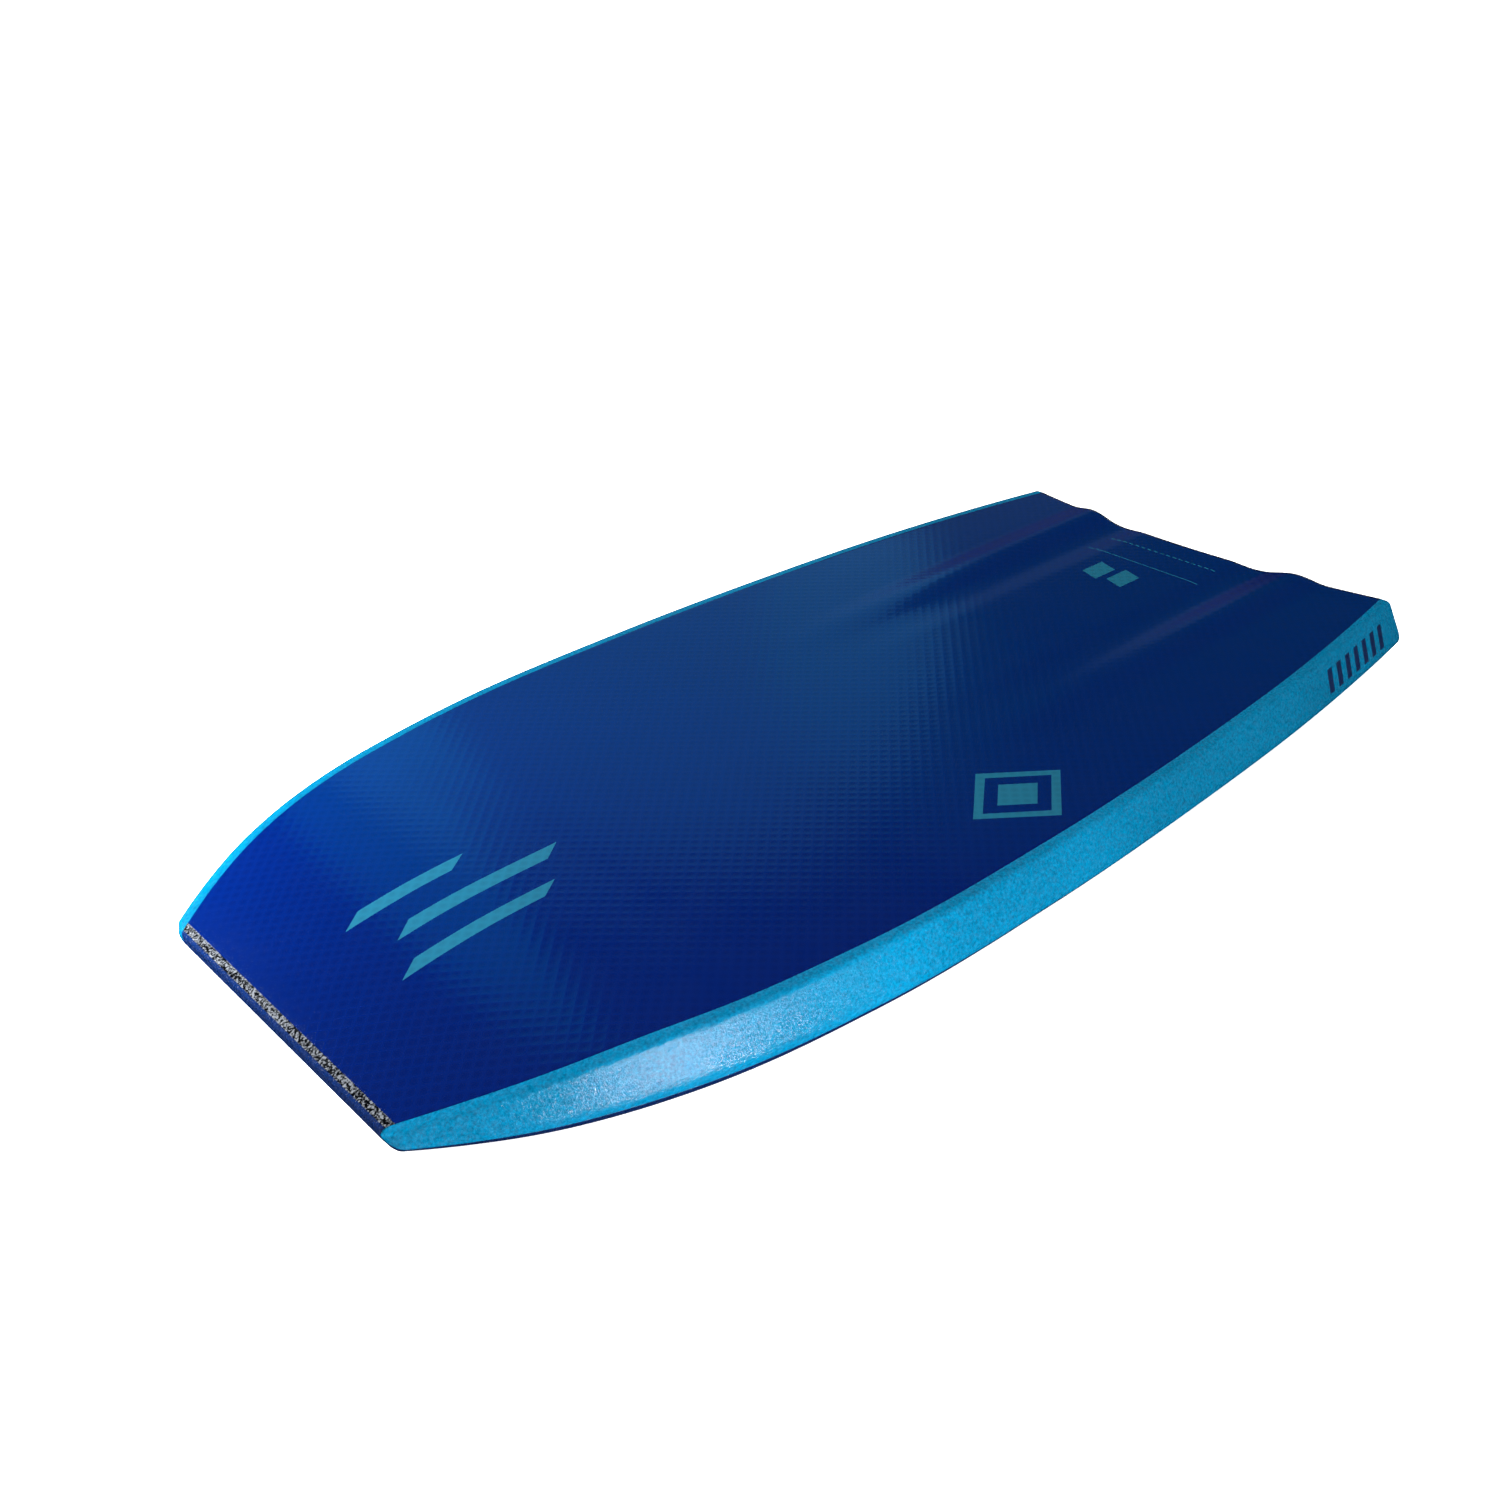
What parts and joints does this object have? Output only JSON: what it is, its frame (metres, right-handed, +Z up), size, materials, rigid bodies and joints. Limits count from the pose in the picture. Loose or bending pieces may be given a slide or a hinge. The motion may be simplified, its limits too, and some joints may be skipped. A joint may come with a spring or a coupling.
{
  "type": "bodyboard",
  "caption": "Crescent-tail bodyboard with a foam core, a slick skin over mesh and backing, foam rails and chines, a wrapped deck skin, bumpers at nose and tail, and a stringer.",
  "frame": {"origin": "middle of the board's footprint, on the surface that it rests on, deck side down", "axes": "+X from the nose to the tail, +Y to the left of a rider who lies on the deck and looks past the nose, +Z up, out of the slick side"},
  "size_m": [1.065, 0.5624, 0.0594],
  "materials": {
    "slick": "smooth skin with a faint diamond embossing",
    "rail_foam": "closed-cell foam with a fine glitter",
    "deck_foam": "closed-cell foam, fine pebble",
    "bumper_foam": "closed-cell foam, speckled",
    "core_foam": "closed-cell foam, cut face",
    "backing_foam": "closed-cell foam sheet",
    "mesh": "moulded plastic mesh",
    "stringer_fibre": "resin-bonded fibre tube",
    "plug_rubber": "matt"
  },
  "bodies": {
    "root": {"foam_core": "core_foam", "stringer_tube": "stringer_fibre", "stringer_nose_plug": "plug_rubber", "stringer_tail_plug": "plug_rubber", "slick_backing": "backing_foam", "slick_mesh": "mesh", "slick_skin": "slick", "deck_skin": "deck_foam", "rail_left": "rail_foam", "rail_right": "rail_foam", "chine_left": "deck_foam", "chine_right": "deck_foam", "nose_bumper": "bumper_foam", "tail_bumper": "bumper_foam"}
  },
  "joints": []
}
